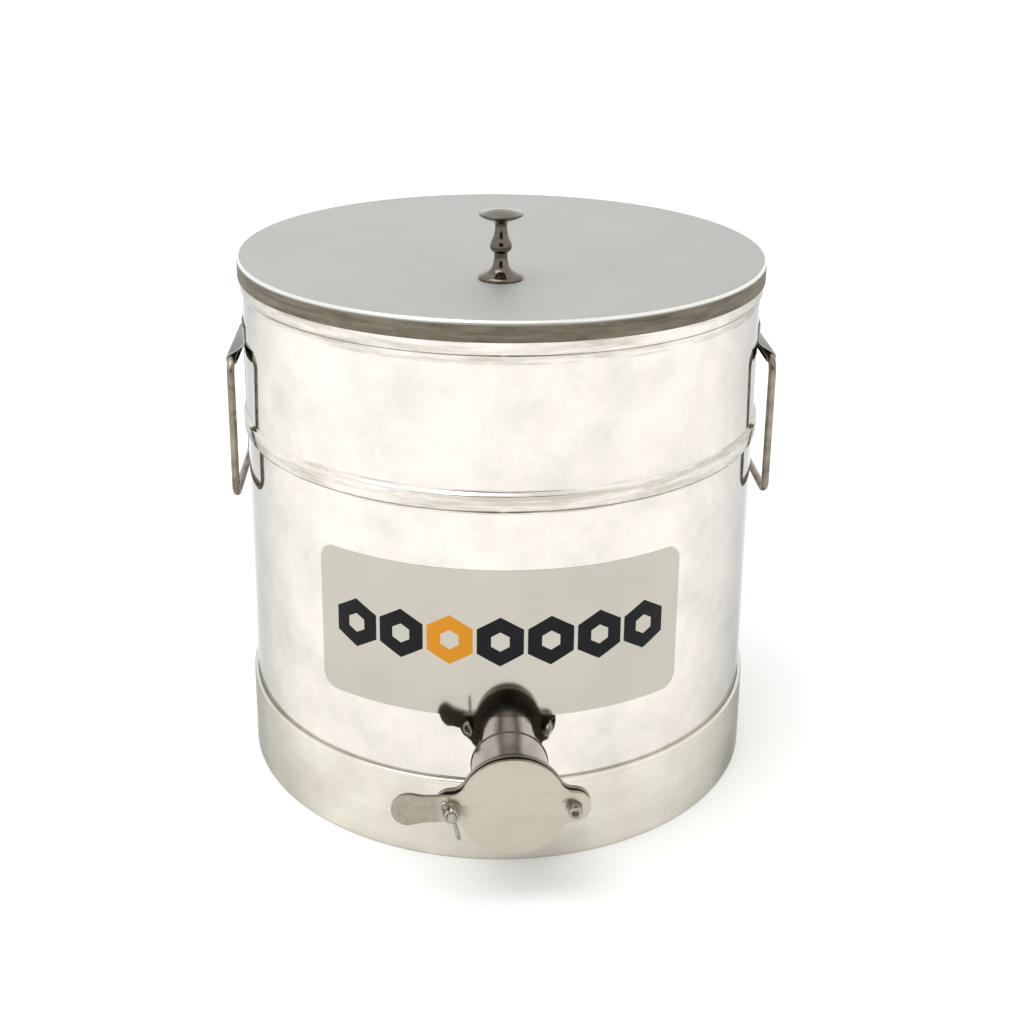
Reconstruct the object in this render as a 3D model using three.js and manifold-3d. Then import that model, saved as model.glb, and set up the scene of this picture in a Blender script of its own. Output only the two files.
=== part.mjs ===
// Stainless steel honey tank with a lift-off lid, two drop handles and a swing-blade honey gate.
// Millimetres, +Z up. The gate faces -Y. The tank stands on z = 0, and the origin is the middle of the
// whole object's footprint, so the tank's own axis stands a little behind it, at y = TANK_AXIS_Y.
import * as THREE from "three";
import Module from "manifold-3d";
import { mergeVertices } from "three/addons/utils/BufferGeometryUtils.js";

// ---------------------------------------------------------------- driving dimensions
const GAP = 0.3; // between pieces that touch on the real object
const TANK_SIDES = 64; // facets round the tank, its lid and its skirt
const TANK_INNER_RADIUS = 200;
const SHEET = 0.8; // tank sheet
const TANK_OUTER_RADIUS = TANK_INNER_RADIUS + SHEET;

const SHELL_BOTTOM = 44;
const SHELL_TOP = 411.1;
const BEAD_LOW = 274.5; // swaged bead round the middle of the shell
const BEAD_HIGH = 290.9;
const BEAD_STAND = 2.5; // how far the bead stands out
const HOOP_LOW = 385; // the stepped-out band under the rim
const HOOP_STAND = 2;
const STEP_RISE = 4.5; // height over which the bead and the hoop step out
const RIM_ROLL_RADIUS = 2.2; // rolled edge at the mouth

const SKIRT_HEIGHT = 65;
const SKIRT_OUTER_RADIUS = 204;
const SKIRT_SHEET = 1;
const HEM_WIDTH = 4; // the folded edge that the tank stands on

const FLOOR_FRONT_Z = 52.4; // top face of the sloping floor, at the gate
const FLOOR_RISE = 12; // the floor climbs this much to the back
const FLOOR_SHEET = 1.2;

const LID_TOP = 412.4;
const LID_LOW = 397.2;
const LID_OUTER_RADIUS = 204;
const LID_SHEET = 0.8;
const LID_EDGE_RADIUS = 3.5;
const LID_HOLE_RADIUS = 2.8;
const LID_WASHER_RADIUS = 7.5;
const KNOB_PLACE = [-5, -95]; // the knob stands in front of the middle of the lid

const ROD_RADIUS = 3; // handle rod
const RING_WIDTH = 104; // between the centres of a handle's legs
const RING_HEIGHT = 108;
const RING_CORNER = 9;
const RING_TOP_Z = 335; // height of the handle's pivot
const RING_X = 207; // distance of the handle's plane from the tank's axis
const BRACKET_HALF = 42; // half the bracket's length along the handle's top bar
const BRACKET_SHEET = 1.2;
const BRACKET_FLANGE = [346, 360]; // lowest and highest z of the part welded to the wall
const CURL_INNER = ROD_RADIUS + 0.4;

const GATE_Z = 77.5; // height of the gate's bore
const BORE_RADIUS = 25;
const TUBE_OUTER_RADIUS = 27.5;
const BLADE_FRONT = 253.5; // distance of the blade's face from the tank's axis
const BLADE_THICK = 3;
const SEAL_SPACE = 2.4; // between the flange and the blade
const FLANGE_THICK = 3.6;
const DISC_RADIUS = 37.5; // round part of the flange and the blade
const EAR_X = 42.5; // pivot and lock screws, each side of the bore
const EAR_RADIUS = 11.5;
const FILLET = 10; // hollow corners beside the ears
const NECK_HALF = 10; // half width of the blade where its thumb tab begins
const TAB_X = -72;
const TAB_RADIUS = 12;
const TAB_HOLLOW = 40;

const SCREW_RADIUS = 3; // M6
const CLEAR_RADIUS = SCREW_RADIUS + GAP;
const HEAD_RADIUS = 5;
const HEAD_HIGH = 6;
const LOCK_SCREW_STAND = 11.3; // how far the lock screw stands out of the blade
const SOCKET_FLATS = 5;
const SOCKET_DEEP = 3.2;
const LOCK_WASHER = 1.2;
const SPRING_WASHER = 1;
const NUT_HUB_HIGH = 7.4;
const WING_REACH = 13.4; // from the nut's axis to the middle of a wing's round end
const WING_END_RADIUS = 2.9;
const WING_HIGH = 14; // from the nut's seat to the highest point of its wings
const WING_THICK = 2.4;
const WING_TURN = THREE.MathUtils.degToRad(20); // how far the wings stand off the vertical

// distances from the tank's axis along the gate, worked out from the blade's face
const BLADE_BACK = BLADE_FRONT - BLADE_THICK;
const FLANGE_FRONT = BLADE_BACK - SEAL_SPACE;
const FLANGE_BACK = FLANGE_FRONT - FLANGE_THICK;
const WASHER_FRONT = BLADE_FRONT + GAP + LOCK_WASHER;
const NUT_SEAT = WASHER_FRONT + GAP;

// the footprint reaches from the wing nut in front to the lid and skirt at the back
const TANK_AXIS_Y = (NUT_SEAT + WING_HIGH - LID_OUTER_RADIUS) / 2;

// ---------------------------------------------------------------- finishes
const POLISHED = { color: 0xd9d8d2, metalness: 1, roughness: 0.18 };
const SATIN = { color: 0xc9c7c0, metalness: 1, roughness: 0.38 };
const TURNED = { color: 0xb4b0ab, metalness: 1, roughness: 0.28 };
const ROD_STEEL = { color: 0x9a9385, metalness: 1, roughness: 0.35 };
const NICKEL = { color: 0xa89f93, metalness: 1, roughness: 0.15 };
const ZINC = { color: 0xb9b7b0, metalness: 1, roughness: 0.25 };
const RUBBER = { color: 0x1b1b1a, metalness: 0, roughness: 0.7 };
const FILM = { color: 0xc4c2bc, metalness: 0.3, roughness: 0.45 };

// ---------------------------------------------------------------- solids and meshes
const wasm = await Module();
wasm.setup();

// A closed three.js geometry as a solid for cutting and joining.
function solid(geometry) {
  const bare = geometry.clone();
  const extras = Object.keys(bare.attributes).filter((name) => name !== "position");
  extras.forEach((name) => bare.deleteAttribute(name));
  const merged = mergeVertices(bare, 1e-4);
  const vertProperties = merged.attributes.position.array;
  const triVerts = merged.index.array;
  return new wasm.Manifold(new wasm.Mesh({ numProp: 3, vertProperties, triVerts }));
}

// A solid back as a three.js geometry.
function geometryOf(body) {
  const { vertProperties, triVerts } = body.getMesh();
  return new THREE.BufferGeometry()
    .setAttribute("position", new THREE.BufferAttribute(new Float32Array(vertProperties), 3))
    .setIndex(new THREE.BufferAttribute(new Uint32Array(triVerts), 1));
}

const tank = new THREE.Group(); // its z axis is the tank's own axis
tank.position.y = TANK_AXIS_Y;

function add(name, geometry, finish) {
  const mesh = new THREE.Mesh(geometry, new THREE.MeshStandardMaterial(finish));
  mesh.name = name;
  tank.add(mesh);
}

const vectors = (pairs) => pairs.map(([x, y]) => new THREE.Vector2(x, y));
const flatShape = (pairs) => new THREE.Shape(vectors(pairs));
const mirrored = (pairs) => pairs.map(([x, y]) => [-x, y]).reverse();
const flipped = (pairs) => pairs.map(([x, y]) => [x, -y]).reverse();
const degrees = (y, x) => THREE.MathUtils.radToDeg(Math.atan2(y, x));

// Points on a circle, from one angle to another in degrees.
function arc(cx, cy, radius, from, to, steps) {
  return Array.from({ length: steps + 1 }, (_, i) => {
    const angle = THREE.MathUtils.degToRad(from + ((to - from) * i) / steps);
    return [cx + radius * Math.cos(angle), cy + radius * Math.sin(angle)];
  });
}

// An outline of [radius, z] pairs turned round the z axis, from the axis back to the axis.
function turnedFromAxis(outline, sides) {
  return new THREE.LatheGeometry(vectors(outline), sides).rotateX(Math.PI / 2);
}

// The same for an outline that stays clear of the axis and closes on itself.
function turnedRing(outline, sides = TANK_SIDES) {
  const ordered = THREE.ShapeUtils.isClockWise(vectors(outline)) ? [...outline].reverse() : outline;
  return turnedFromAxis([...ordered, ordered[0]], sides);
}

// A plain ring with a square section: [inner radius, outer radius], [low, high].
function squareRing([inner, outer], [low, high], sides = TANK_SIDES) {
  return turnedRing([[inner, low], [outer, low], [outer, high], [inner, high]], sides);
}

// A ring whose axis lies along -Y, between two distances from the tank's axis.
function forwardRing(radii, [back, front], x, sides) {
  return squareRing(radii, [back, front], sides).rotateX(Math.PI / 2).translate(x, 0, GATE_Z);
}

function uprightCylinder(radius, low, high) {
  return new THREE.CylinderGeometry(radius, radius, high - low, TANK_SIDES)
    .rotateX(Math.PI / 2)
    .translate(0, 0, (low + high) / 2);
}

// A bar along -Y at the gate's height, between two distances from the tank's axis.
function forwardBar(radius, [back, front], x, sides) {
  return new THREE.CylinderGeometry(radius, radius, front - back, sides)
    .translate(x, -(front + back) / 2, GATE_Z);
}

// A plate cut to an outline seen from the front, between two distances from the tank's axis.
function forwardPlate(shape, [back, front]) {
  return new THREE.ExtrudeGeometry(shape, { depth: front - back, bevelEnabled: false })
    .rotateX(Math.PI / 2)
    .translate(0, -back, GATE_Z);
}

// ---------------------------------------------------------------- tank shell
// One rolled sheet: plain wall, a swaged bead, a stepped-out hoop and a rolled rim at the mouth.
function wallOutline(radius) {
  const bead = radius + BEAD_STAND;
  const hoop = radius + HOOP_STAND;
  return [
    [radius, SHELL_BOTTOM],
    [radius, BEAD_LOW],
    [bead, BEAD_LOW + STEP_RISE],
    [bead, BEAD_HIGH - STEP_RISE],
    [radius, BEAD_HIGH],
    [radius, HOOP_LOW],
    [hoop, HOOP_LOW + STEP_RISE + 2],
  ];
}

const rollX = TANK_OUTER_RADIUS + HOOP_STAND - RIM_ROLL_RADIUS;
const rollZ = SHELL_TOP - RIM_ROLL_RADIUS;
const shellOutline = [
  ...wallOutline(TANK_OUTER_RADIUS),
  ...arc(rollX, rollZ, RIM_ROLL_RADIUS, 0, 252, 7),
  [rollX + SHEET, rollZ - RIM_ROLL_RADIUS],
  ...wallOutline(TANK_INNER_RADIUS).reverse(),
];
const tubeHole = solid(forwardBar(TUBE_OUTER_RADIUS + GAP, [150, 230], 0, 40));
add("tank_shell", geometryOf(solid(turnedRing(shellOutline)).subtract(tubeHole)), POLISHED);

// ---------------------------------------------------------------- base skirt
// A ring round the foot of the shell: a turned-in ledge at the top, a folded hem to stand on.
const skirtInner = SKIRT_OUTER_RADIUS - SKIRT_SHEET;
const hemInner = SKIRT_OUTER_RADIUS - HEM_WIDTH;
const ledgeLow = SKIRT_HEIGHT - SKIRT_SHEET;
const skirtOutline = [
  [TANK_OUTER_RADIUS + GAP, SKIRT_HEIGHT],
  [TANK_OUTER_RADIUS + GAP, ledgeLow],
  [skirtInner, ledgeLow],
  [skirtInner, 5.5],
  [hemInner, 3.5],
  [hemInner, 0],
  [SKIRT_OUTER_RADIUS - 0.7, 0],
  [SKIRT_OUTER_RADIUS, 1.2],
  [SKIRT_OUTER_RADIUS, SKIRT_HEIGHT - 1.2],
  [SKIRT_OUTER_RADIUS - 1.2, SKIRT_HEIGHT],
];
add("base_skirt", geometryOf(solid(turnedRing(skirtOutline)).subtract(tubeHole)), SATIN);

// ---------------------------------------------------------------- sloping floor
// A round plate welded inside the shell, higher at the back so that the honey runs to the gate.
const floorRadius = TANK_INNER_RADIUS - GAP;
const floorPlate = uprightCylinder(floorRadius, FLOOR_FRONT_Z - FLOOR_SHEET, FLOOR_FRONT_Z);
const floorPoints = floorPlate.attributes.position;
for (let i = 0; i < floorPoints.count; i++) {
  const share = (floorPoints.getY(i) + floorRadius) / (2 * floorRadius);
  floorPoints.setZ(i, floorPoints.getZ(i) + FLOOR_RISE * share);
}
add("tank_floor", floorPlate, SATIN);

// ---------------------------------------------------------------- front label
// A blank film stuck on the wall above the gate, with round corners.
const LABEL = { left: -135, right: 124, low: 117, high: 232, corner: 12, film: 0.4 };
const labelCorners = [
  [LABEL.right, LABEL.high, 0],
  [LABEL.left, LABEL.high, 90],
  [LABEL.left, LABEL.low, 180],
  [LABEL.right, LABEL.low, 270],
];
const labelOutline = labelCorners.flatMap(([x, z, from]) => {
  const cx = x - Math.sign(x) * LABEL.corner;
  const cz = z === LABEL.high ? z - LABEL.corner : z + LABEL.corner;
  return arc(cx, cz - GATE_Z, LABEL.corner, from, from + 90, 4);
});
const labelInner = TANK_OUTER_RADIUS + GAP;
const labelRing = squareRing([labelInner, labelInner + LABEL.film], [LABEL.low - 5, LABEL.high + 5]);
const labelCutter = forwardPlate(flatShape(labelOutline), [100, 230]);
add("front_label", geometryOf(solid(labelRing).intersect(solid(labelCutter))), FILM);

// ---------------------------------------------------------------- lid
// A shallow pressed pan that drops over the hoop and rests on the rolled rim.
const lidInner = LID_OUTER_RADIUS - LID_SHEET;
const edgeX = LID_OUTER_RADIUS - LID_EDGE_RADIUS;
const edgeZ = LID_TOP - LID_EDGE_RADIUS;
const lidOutline = [
  [0, LID_TOP - LID_SHEET],
  ...arc(edgeX, edgeZ, LID_EDGE_RADIUS - LID_SHEET, 90, 0, 2),
  [lidInner, LID_LOW],
  [LID_OUTER_RADIUS, LID_LOW],
  ...arc(edgeX, edgeZ, LID_EDGE_RADIUS, 0, 90, 3),
  [0, LID_TOP],
];
const lidHole = uprightCylinder(LID_HOLE_RADIUS, LID_LOW, LID_TOP + 5).translate(...KNOB_PLACE, 0);
const lidPan = solid(turnedFromAxis(lidOutline, TANK_SIDES)).subtract(solid(lidHole));
add("lid_pan", geometryOf(lidPan), SATIN);

// ---------------------------------------------------------------- lid knob
// A turned knob: a foot, a waisted stem with a collar, and a shallow domed button.
// Each pair is [radius, height above the lid]; the first three are the blind screw hole.
const knobProfile = [
  [0, 13.5],
  [LID_HOLE_RADIUS, 13],
  [LID_HOLE_RADIUS, 0],
  [15.7, 0],
  [16.4, 1.1],
  [15.4, 2.4],
  [10.8, 4.3],
  [6.7, 7.5],
  [4.8, 14],
  [5.4, 19.3],
  [7.5, 20.9],
  [7.9, 23.7],
  [7.4, 26.9],
  [4.5, 35.5],
  [4.4, 39.6],
  [7.1, 41.9],
  [13.6, 44.5],
  [16.1, 46.8],
  [15.3, 47.9],
  [9.4, 49.6],
  [0, 50.3],
];
const knobFoot = LID_TOP + GAP;
const knob = turnedFromAxis(knobProfile.map(([r, up]) => [r, knobFoot + up]), 28);
add("lid_knob", knob.translate(...KNOB_PLACE, 0), NICKEL);

// Washer and round-headed screw that hold the knob from under the lid.
const lidWasherTop = LID_TOP - LID_SHEET - GAP;
const lidWasherLow = lidWasherTop - 1;
const lidWasher = squareRing([LID_HOLE_RADIUS, LID_WASHER_RADIUS], [lidWasherLow, lidWasherTop], 20);
add("lid_knob_washer", lidWasher.translate(...KNOB_PLACE, 0), ZINC);
const lidScrewRadius = LID_HOLE_RADIUS - GAP;
const lidScrewSeat = lidWasherLow - GAP;
const lidScrewProfile = [
  [0, lidScrewSeat - 3],
  [3.2, lidScrewSeat - 3],
  [4.7, lidScrewSeat - 1.6],
  [4.7, lidScrewSeat],
  [lidScrewRadius, lidScrewSeat],
  [lidScrewRadius, knobFoot + 12],
  [0, knobFoot + 12],
];
add("lid_knob_screw", turnedFromAxis(lidScrewProfile, 20).translate(...KNOB_PLACE, 0), ZINC);

// ---------------------------------------------------------------- drop handles
// Each ring is one bent rod welded into a loop, with round corners.
function ringCorner(index, bend) {
  const [ySign, zSign] = [[1, 1], [-1, 1], [-1, -1], [1, -1]][index % 4];
  const angle = ((index + bend) * Math.PI) / 2;
  const y = ySign * (RING_WIDTH / 2 - RING_CORNER) + RING_CORNER * Math.cos(angle);
  const z = zSign * (RING_HEIGHT / 2 - RING_CORNER) + RING_CORNER * Math.sin(angle);
  return new THREE.Vector3(0, y, z);
}

class RingPath extends THREE.Curve {
  // Each side is a quarter of the run: four parts for its round corner, then one for the straight.
  getPoint(t, target = new THREE.Vector3()) {
    const run = (t % 1) * 4;
    const index = Math.floor(run);
    const bend = Math.min((run - index) / 0.8, 1);
    const straight = Math.max((run - index - 0.8) / 0.2, 0);
    return target.lerpVectors(ringCorner(index, bend), ringCorner(index + 1, 0), straight);
  }
  // Steps follow t, not the length, so the corners get most of them.
  getUtoTmapping(u) {
    return u;
  }
}

// Each bracket is a strip: a flange welded along the wall, flared out and curled round the ring's top bar.
const curlOuter = CURL_INNER + BRACKET_SHEET;
const flareRun = 16; // the flare leaves the curl at 45 degrees and is cut off inside the flange
const curlOutline = [...arc(0, 0, curlOuter, 45, -165, 12), ...arc(0, 0, CURL_INNER, -165, 45, 12)];
const [outerX, outerZ] = curlOutline[0];
const [innerX, innerZ] = curlOutline.at(-1);
curlOutline.unshift([outerX - flareRun, outerZ + flareRun]);
curlOutline.push([innerX - flareRun, innerZ + flareRun]);

const wall = solid(uprightCylinder(TANK_OUTER_RADIUS + GAP, 300, 380));
const flangeRadii = [TANK_OUTER_RADIUS + GAP, TANK_OUTER_RADIUS + GAP + BRACKET_SHEET];
const flangeBox = new THREE.BoxGeometry(40, 2 * BRACKET_HALF, 100).translate(190, 0, 350);
const bracketFlange = solid(squareRing(flangeRadii, BRACKET_FLANGE)).intersect(solid(flangeBox));
const stripRun = { depth: 2 * BRACKET_HALF, bevelEnabled: false };
const curledStrip = new THREE.ExtrudeGeometry(flatShape(curlOutline), stripRun)
  .rotateX(Math.PI / 2)
  .translate(RING_X, BRACKET_HALF, RING_TOP_Z);
const belowFlangeTop = new THREE.BoxGeometry(60, 200, 60).translate(200, 0, BRACKET_FLANGE[1] - 36);
const bracket = solid(curledStrip).subtract(wall).intersect(solid(belowFlangeTop)).add(bracketFlange);

for (const [name, turn] of [["right", 0], ["left", Math.PI]]) {
  const ring = new THREE.TubeGeometry(new RingPath(), 20, ROD_RADIUS, 8, true); // closed, so it has no ends
  ring.translate(RING_X, 0, RING_TOP_Z - RING_HEIGHT / 2);
  add(`${name}_handle_bracket`, geometryOf(bracket).rotateZ(turn), SATIN);
  add(`${name}_handle_ring`, ring.rotateZ(turn), ROD_STEEL);
}

// ---------------------------------------------------------------- honey gate: tube, flange and seal
const tubeBody = solid(forwardBar(TUBE_OUTER_RADIUS, [150, FLANGE_BACK - GAP], 0, 40))
  .subtract(solid(forwardBar(BORE_RADIUS, [140, FLANGE_BACK + 10], 0, 40)))
  .subtract(solid(uprightCylinder(TANK_INNER_RADIUS + GAP, 0, 200)));
add("gate_tube", geometryOf(tubeBody), TURNED);

// The flange is a round plate with a small round ear each side, joined to the disc by hollow fillets.
const discReach = DISC_RADIUS + FILLET;
const earReach = EAR_RADIUS + FILLET;
const filletX = (discReach ** 2 - earReach ** 2 + EAR_X ** 2) / (2 * EAR_X);
const filletY = Math.sqrt(discReach ** 2 - filletX ** 2);
const discAngle = degrees(filletY, filletX); // where a fillet leaves the disc
const earAngle = degrees(filletY, filletX - EAR_X); // where it meets the ear
const rightEar = [
  ...arc(filletX, filletY, FILLET, 180 + discAngle, 180 + earAngle, 4),
  ...arc(EAR_X, 0, EAR_RADIUS, earAngle, -earAngle, 10).slice(1, -1),
  ...arc(filletX, -filletY, FILLET, 180 - earAngle, 180 - discAngle, 4),
];
const discArc = (from, to) => arc(0, 0, DISC_RADIUS, from, to, 12).slice(1, -1);
const flangeOutline = [
  ...rightEar,
  ...discArc(-discAngle, discAngle - 180),
  ...mirrored(rightEar),
  ...discArc(180 - discAngle, discAngle),
];
const THROUGH_PLATES = [220, 280]; // a cutter with this span passes through the flange and the blade
const screwHole = (x) => solid(forwardBar(CLEAR_RADIUS, THROUGH_PLATES, x, 20));
const flangeBody = solid(forwardPlate(flatShape(flangeOutline), [FLANGE_BACK, FLANGE_FRONT]))
  .subtract(solid(forwardBar(BORE_RADIUS, THROUGH_PLATES, 0, 40)))
  .subtract(screwHole(EAR_X))
  .subtract(screwHole(-EAR_X));
add("gate_flange", geometryOf(flangeBody), SATIN);

// A flat rubber ring fills the space between the flange and the blade; the spacers stand beside it.
const sealSpan = [FLANGE_FRONT + GAP, BLADE_BACK - GAP];
add("gate_seal", forwardRing([BORE_RADIUS + 1, BORE_RADIUS + 8], sealSpan, 0, 40), RUBBER);

// ---------------------------------------------------------------- honey gate: blade
// The round plate has a pivot ear on the right and, on the left, a thumb tab past the lock screw.
const neckFilletY = NECK_HALF + FILLET;
const neckFilletX = -Math.sqrt(discReach ** 2 - neckFilletY ** 2);
const neckAngle = degrees(neckFilletY, neckFilletX);
const hollowY = NECK_HALF + TAB_HOLLOW;
const hollowX = TAB_X + Math.sqrt((TAB_HOLLOW + TAB_RADIUS) ** 2 - hollowY ** 2);
const tabAngle = degrees(hollowY, hollowX - TAB_X);
const tabTop = [
  ...arc(TAB_X, 0, TAB_RADIUS, 180, tabAngle, 6),
  ...arc(hollowX, hollowY, TAB_HOLLOW, 180 + tabAngle, 270, 3).slice(1),
  ...arc(neckFilletX, neckFilletY, FILLET, 270, 180 + neckAngle, 4),
];
const bladeOutline = [
  ...tabTop,
  ...discArc(neckAngle, discAngle),
  ...rightEar,
  ...discArc(-discAngle, -neckAngle),
  ...flipped(tabTop).slice(0, -1),
];
// The lock screw's slot is open below and follows the arc that the blade swings on.
const SLOT_HALF = SCREW_RADIUS + 0.4;
const SLOT_RUN = 14; // degrees of swing in which the slot leaves the screw
const slotOutline = [
  ...arc(EAR_X, 0, 2 * EAR_X - SLOT_HALF, 180 + SLOT_RUN, 180, 4),
  ...arc(-EAR_X, 0, SLOT_HALF, 0, 180, 8).slice(1, -1),
  ...arc(EAR_X, 0, 2 * EAR_X + SLOT_HALF, 180, 180 + SLOT_RUN, 4),
];
const bladeBody = solid(forwardPlate(flatShape(bladeOutline), [BLADE_BACK, BLADE_FRONT]))
  .subtract(screwHole(EAR_X))
  .subtract(solid(forwardPlate(flatShape(slotOutline), [BLADE_BACK - 5, BLADE_FRONT + 5])));
add("gate_blade", geometryOf(bladeBody), SATIN);

// ---------------------------------------------------------------- honey gate: fasteners
const screwRing = (radius, span, x) => forwardRing([CLEAR_RADIUS, radius], span, x, 20);
const springSpan = [BLADE_FRONT + GAP, BLADE_FRONT + GAP + SPRING_WASHER];
add("pivot_spacer", screwRing(6, sealSpan, EAR_X), ZINC);
add("lock_spacer", screwRing(6, sealSpan, -EAR_X), ZINC);
add("pivot_spring_washer", screwRing(5.4, springSpan, EAR_X), ZINC);
add("lock_washer", screwRing(6.2, [BLADE_FRONT + GAP, WASHER_FRONT], -EAR_X), ZINC);

// A socket-head screw; "way" is 1 where the head faces the front and -1 where it faces the tank.
function socketScrew(x, seat, shankEnd, way) {
  const span = (from, to) => [Math.min(from, to), Math.max(from, to)];
  const head = forwardBar(HEAD_RADIUS, span(seat, seat + way * HEAD_HIGH), x, 24);
  const shank = forwardBar(SCREW_RADIUS, span(seat + way, shankEnd), x, 20);
  const socketFloor = seat + way * (HEAD_HIGH - SOCKET_DEEP);
  const socket = forwardBar(SOCKET_FLATS / Math.sqrt(3), span(socketFloor, seat + way * 10), x, 6);
  return geometryOf(solid(head).add(solid(shank)).subtract(solid(socket)));
}
const capNutFace = FLANGE_BACK - GAP;
const capBoreDeep = 8.5;
add("pivot_screw", socketScrew(EAR_X, springSpan[1] + GAP, capNutFace - capBoreDeep + 0.5, 1), ZINC);
add("lock_screw", socketScrew(-EAR_X, FLANGE_BACK - GAP, BLADE_FRONT + LOCK_SCREW_STAND, -1), ZINC);

// Cap nut behind the flange: a hexagon with a dome, and a blind hole for the pivot screw.
const capHexHigh = 5.5;
const capDome = new THREE.SphereGeometry(4.7, 16, 10).translate(EAR_X, capHexHigh - capNutFace, GATE_Z);
const capNut = solid(forwardBar(10 / Math.sqrt(3), [capNutFace - capHexHigh, capNutFace], EAR_X, 6))
  .add(solid(capDome))
  .subtract(solid(forwardBar(CLEAR_RADIUS, [capNutFace - capBoreDeep, capNutFace + 1], EAR_X, 20)));
add("pivot_cap_nut", geometryOf(capNut), ZINC);

// Wing nut: a tapered hub and two swept wings in one plane.
// A wing's outline is [distance from the screw's axis, height above the nut's seat].
const wingEndHigh = WING_HIGH - WING_END_RADIUS;
const wingOutline = [
  [4, 2],
  [6.6, 3],
  [9.5, 6],
  ...arc(WING_REACH, wingEndHigh, WING_END_RADIUS, -50, 130, 9),
  [8.2, 11.4],
  [5.8, 8.2],
  [4, 7.6],
];
const wing = new THREE.ExtrudeGeometry(flatShape(wingOutline), { depth: WING_THICK, bevelEnabled: false })
  .translate(0, 0, -WING_THICK / 2)
  .rotateX(Math.PI)
  .rotateY(-Math.PI / 2);
const hubOutline = [[CLEAR_RADIUS, 0], [6.2, 0], [5.6, NUT_HUB_HIGH], [CLEAR_RADIUS, NUT_HUB_HIGH]];
const hub = turnedRing(hubOutline, 24).rotateX(Math.PI / 2);
const nutBore = new THREE.CylinderGeometry(CLEAR_RADIUS, CLEAR_RADIUS, 60, 24);
const wingNut = solid(hub)
  .add(solid(wing))
  .add(solid(wing.clone().rotateY(Math.PI)))
  .subtract(solid(nutBore));
add("lock_wing_nut", geometryOf(wingNut).rotateY(-WING_TURN).translate(-EAR_X, -NUT_SEAT, GATE_Z), ZINC);

export default tank;
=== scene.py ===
# Stainless steel honey tank: lid with a turned knob, two drop handles, base skirt and a swing-blade
# honey gate. Each section below makes one piece, or a group of like pieces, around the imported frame.
import math
import bpy
import bmesh
from mathutils import Matrix, Vector


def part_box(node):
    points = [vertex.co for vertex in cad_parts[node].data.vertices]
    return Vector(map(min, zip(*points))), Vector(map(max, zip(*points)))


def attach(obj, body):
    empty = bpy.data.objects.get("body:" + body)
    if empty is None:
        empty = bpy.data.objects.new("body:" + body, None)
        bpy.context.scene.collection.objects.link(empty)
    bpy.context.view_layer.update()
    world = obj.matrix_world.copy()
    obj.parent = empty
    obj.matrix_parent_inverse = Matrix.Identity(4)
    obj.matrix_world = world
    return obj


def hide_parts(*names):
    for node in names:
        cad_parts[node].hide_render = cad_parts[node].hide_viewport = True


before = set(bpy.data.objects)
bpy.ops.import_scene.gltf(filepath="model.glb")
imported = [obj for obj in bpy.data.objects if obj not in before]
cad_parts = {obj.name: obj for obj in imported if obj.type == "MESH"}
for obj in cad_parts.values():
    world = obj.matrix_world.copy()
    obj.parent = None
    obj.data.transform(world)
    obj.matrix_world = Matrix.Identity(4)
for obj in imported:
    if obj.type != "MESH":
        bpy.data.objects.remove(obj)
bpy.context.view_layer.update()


# ---- Camera ------------------------
# Stands in front of the gate, a little to its left and above the lid, with the tank upright in the
# frame. Its place is measured from the tank's own axis, which is the middle of the round floor plate.
floor_low, floor_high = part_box("tank_floor")
AXIS = Vector(((floor_low.x + floor_high.x) / 2, (floor_low.y + floor_high.y) / 2, 0))
CAMERA_DISTANCE = 1.1526
CAMERA_HEIGHT = 0.6927
CAMERA_SIDE = math.radians(-2.528)
CAMERA_HEADING = math.radians(-2.965)
CAMERA_PITCH = math.radians(-18.02)
CAMERA_ROLL = math.radians(0.66)

camera = bpy.data.objects.new("camera", bpy.data.cameras.new("camera"))
bpy.context.collection.objects.link(camera)
camera.data.lens = 53.41
camera.data.sensor_width = 36
camera.data.shift_y = -0.146
camera.data.clip_end = 200
aim = Matrix.Rotation(CAMERA_HEADING, 4, "Z") @ Matrix.Rotation(math.pi / 2 + CAMERA_PITCH, 4, "X")
side_step = Vector((math.sin(CAMERA_SIDE), -math.cos(CAMERA_SIDE), 0)) * CAMERA_DISTANCE
stand = AXIS + side_step + Vector((0, 0, CAMERA_HEIGHT))
camera.matrix_world = Matrix.Translation(stand) @ aim @ Matrix.Rotation(CAMERA_ROLL, 4, "Z")
bpy.context.scene.camera = camera
bpy.context.scene.view_settings.view_transform = "Standard"


# ---- Studio ------------------------
# A pale floor, an even bright room that is darker behind the camera, and one large soft box above.
# Polished steel shows the room: bright above and behind, dark in front, pale below.
def linear(hex_colour):
    """An sRGB hex colour as linear red, green, blue and alpha."""
    channels = [int(hex_colour[i : i + 2], 16) / 255 for i in (1, 3, 5)]
    return [c / 12.92 if c <= 0.04045 else ((c + 0.055) / 1.055) ** 2.4 for c in channels] + [1]


def add_node(tree, kind, inputs=None, **settings):
    """Adds a node with its settings; each input is a value, or the socket that feeds it."""
    node = tree.nodes.new(kind)
    for name, value in settings.items():
        setattr(node, name, value)
    for key, value in (inputs or {}).items():
        if isinstance(value, bpy.types.NodeSocket):
            tree.links.new(value, node.inputs[key])
        else:
            node.inputs[key].default_value = value
    return node


def new_material(name):
    """A new node material, its tree and its shader."""
    material = bpy.data.materials.new(name)
    material.use_nodes = True
    tree = material.node_tree
    return material, tree, tree.nodes["Principled BSDF"]


def object_place(tree):
    """The place on a piece, in metres in its own frame."""
    return add_node(tree, "ShaderNodeTexCoord").outputs["Object"]


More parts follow.
